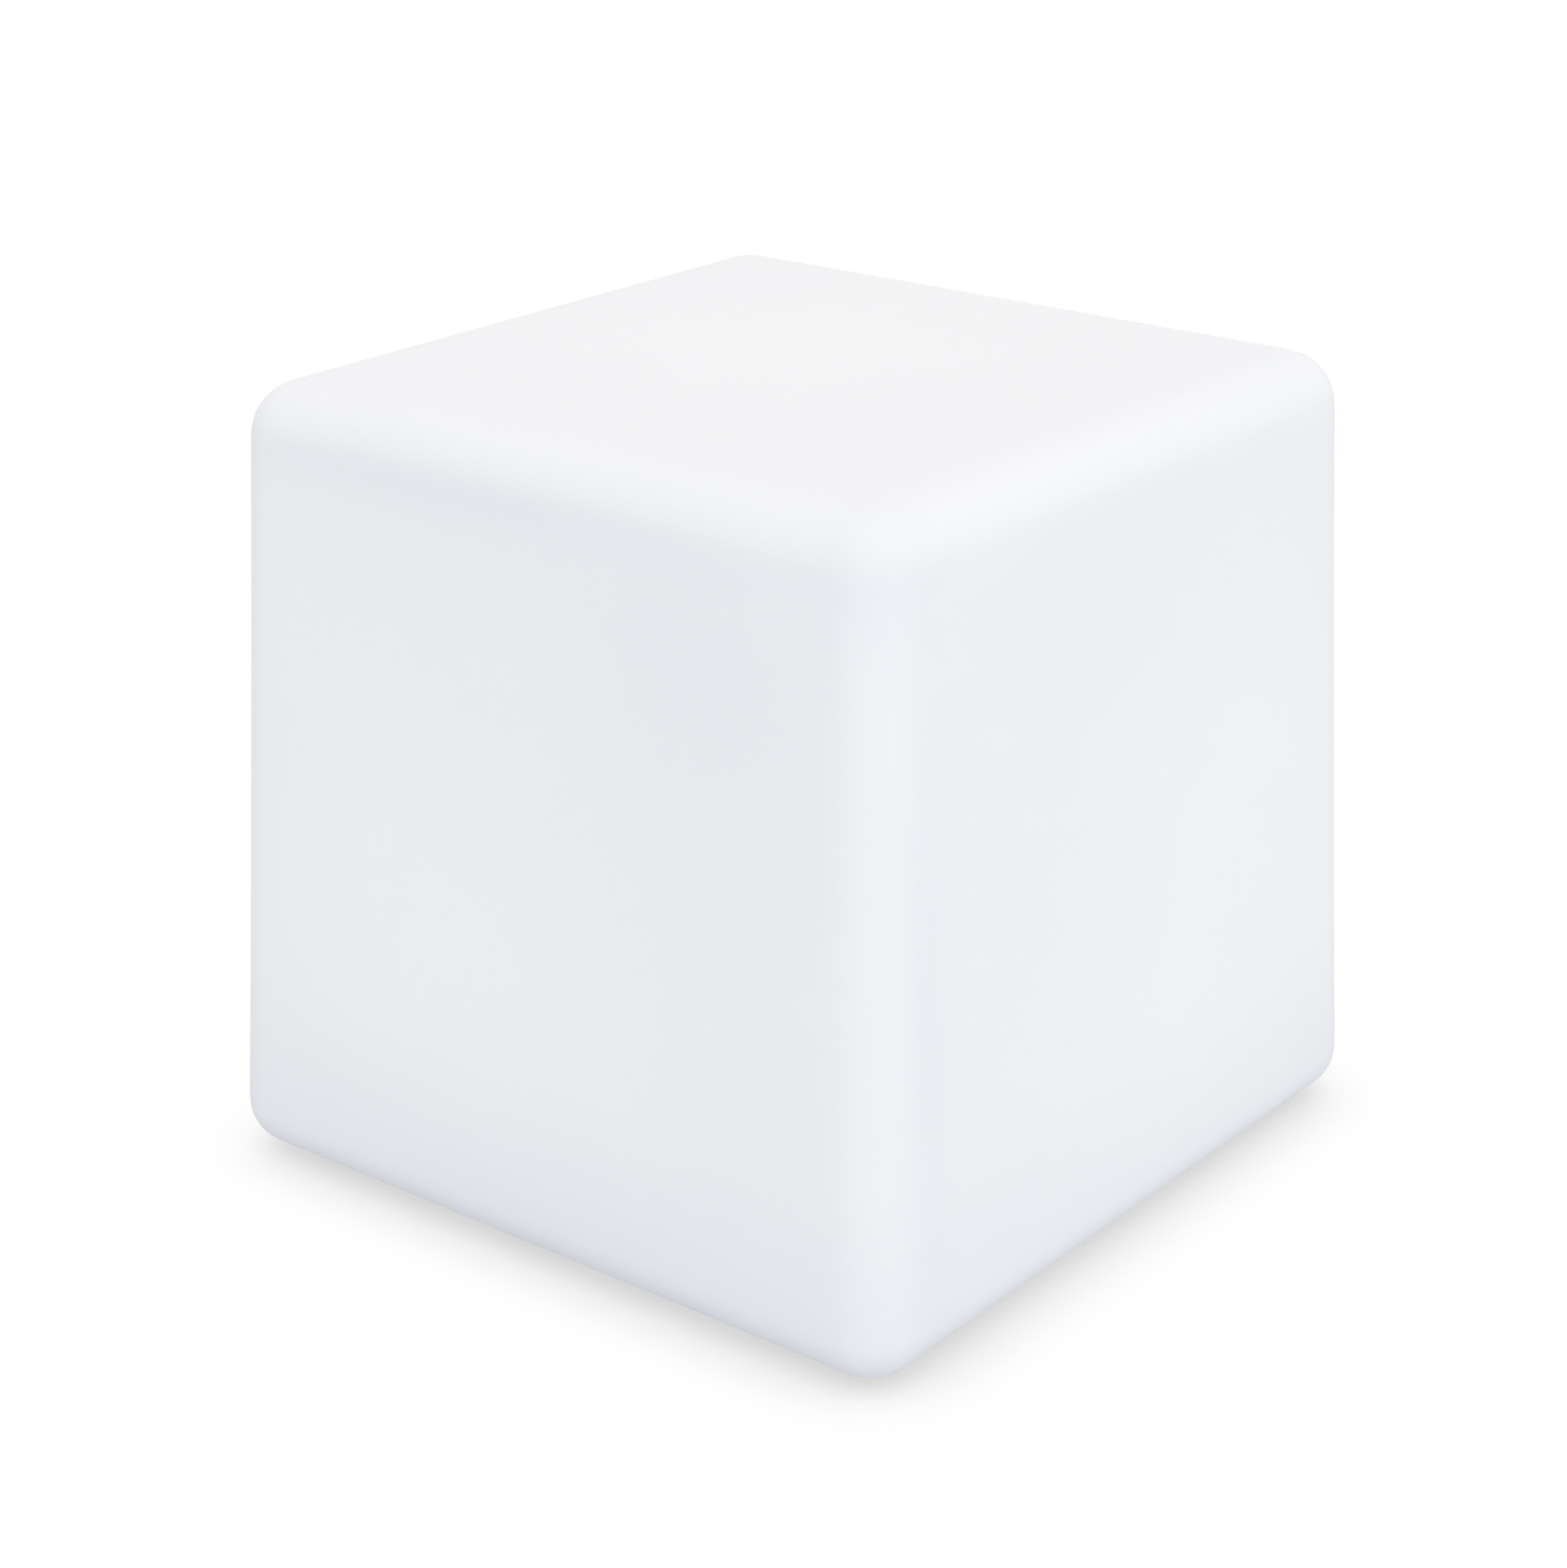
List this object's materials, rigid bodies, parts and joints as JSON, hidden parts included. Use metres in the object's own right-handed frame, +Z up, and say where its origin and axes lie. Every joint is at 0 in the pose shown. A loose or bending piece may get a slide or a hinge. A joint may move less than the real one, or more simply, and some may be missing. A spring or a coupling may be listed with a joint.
{
  "type": "led cube light",
  "caption": "Standing LED cube light: rounded, slightly tapered milky plastic cube with a twist-out light unit, push switch and capped charging socket underneath.",
  "frame": {"origin": "on the standing surface, under the centre of the cube", "axes": "+Z up; +X and +Y square to the side faces; the grip bar with the switch runs along X, switch towards +X and socket towards -X"},
  "size_m": [0.3976, 0.3976, 0.383],
  "materials": {
    "black_epoxy": "moulded",
    "black_nylon": "satin",
    "black_rubber": "matt",
    "black_webbing": "woven",
    "blue_cell_wrap": "shrink wrap",
    "brass": "machined",
    "capacitor_can": "drawn can",
    "clear_acrylic": "clear",
    "frosted_polycarbonate": "frosted, diffusing",
    "green_laminate": "solder mask",
    "grey_button": "satin",
    "grey_silicone": "satin",
    "ivory_nylon": "moulded",
    "led_package": "cast resin",
    "milky_polyethylene": "satin, fine moulded texture, slightly translucent",
    "nickel_plate": "bright",
    "plain_aluminium": "rolled",
    "red_lead": "extruded",
    "stainless_steel": "plain",
    "white_abs": "fine spark texture",
    "white_laminate": "solder mask",
    "white_lead": "extruded"
  },
  "bodies": {
    "shell": {"cube_shell": "milky_polyethylene", "foot_front_left": "black_rubber", "foot_front_right": "black_rubber", "foot_rear_left": "black_rubber", "foot_rear_right": "black_rubber", "ring_inserts": "brass", "ring_gasket": "grey_silicone", "bayonet_ring": "white_abs", "ring_screws": "stainless_steel"},
    "light_unit": {"battery_cell_left": "blue_cell_wrap", "battery_cell_right": "blue_cell_wrap", "battery_lead": "red_lead", "battery_strap": "black_webbing", "battery_tray": "black_nylon", "board_chips": "black_epoxy", "board_screws": "stainless_steel", "cap_strap": "grey_silicone", "cell_links": "nickel_plate", "charge_indicator": "clear_acrylic", "charge_jack": "black_nylon", "control_board": "green_laminate", "dome_gasket": "grey_silicone", "dome_screws": "stainless_steel", "indicator_led": "led_package", "jack_leads": "red_lead", "jack_nut": "nickel_plate", "lead_connectors": "ivory_nylon", "led_board": "white_laminate", "led_lead": "white_lead", "led_plate": "plain_aluminium", "leds": "led_package", "lens_dome": "frosted_polycarbonate", "power_inductor": "black_epoxy", "power_switch": "black_nylon", "remote_receiver": "black_epoxy", "smoothing_capacitors": "capacitor_can", "switch_leads": "white_lead", "switch_nut": "nickel_plate", "tray_screws": "stainless_steel", "twist_seal": "grey_silicone", "unit_housing": "white_abs"},
    "power_button": {"power_button": "grey_button"},
    "charge_cap": {"charge_cap": "grey_silicone"}
  },
  "joints": [
    {"name": "unit_twist", "type": "hinge", "parent": "shell", "child": "light_unit", "pos_m": [0, 0, 0.0125], "axis": [0, 0, -1], "range_deg": [0, 60]},
    {"name": "button_press", "type": "slide", "parent": "light_unit", "child": "power_button", "axis": [0, 0, 1], "range_m": [0, 0.0015], "stiffness_N_per_m": 1500, "springref_m": -0.0005},
    {"name": "cap_swing", "type": "hinge", "parent": "light_unit", "child": "charge_cap", "pos_m": [-0.0175, 0, 0.0063], "axis": [0, -1, 0], "range_deg": [0, 110]}
  ]
}
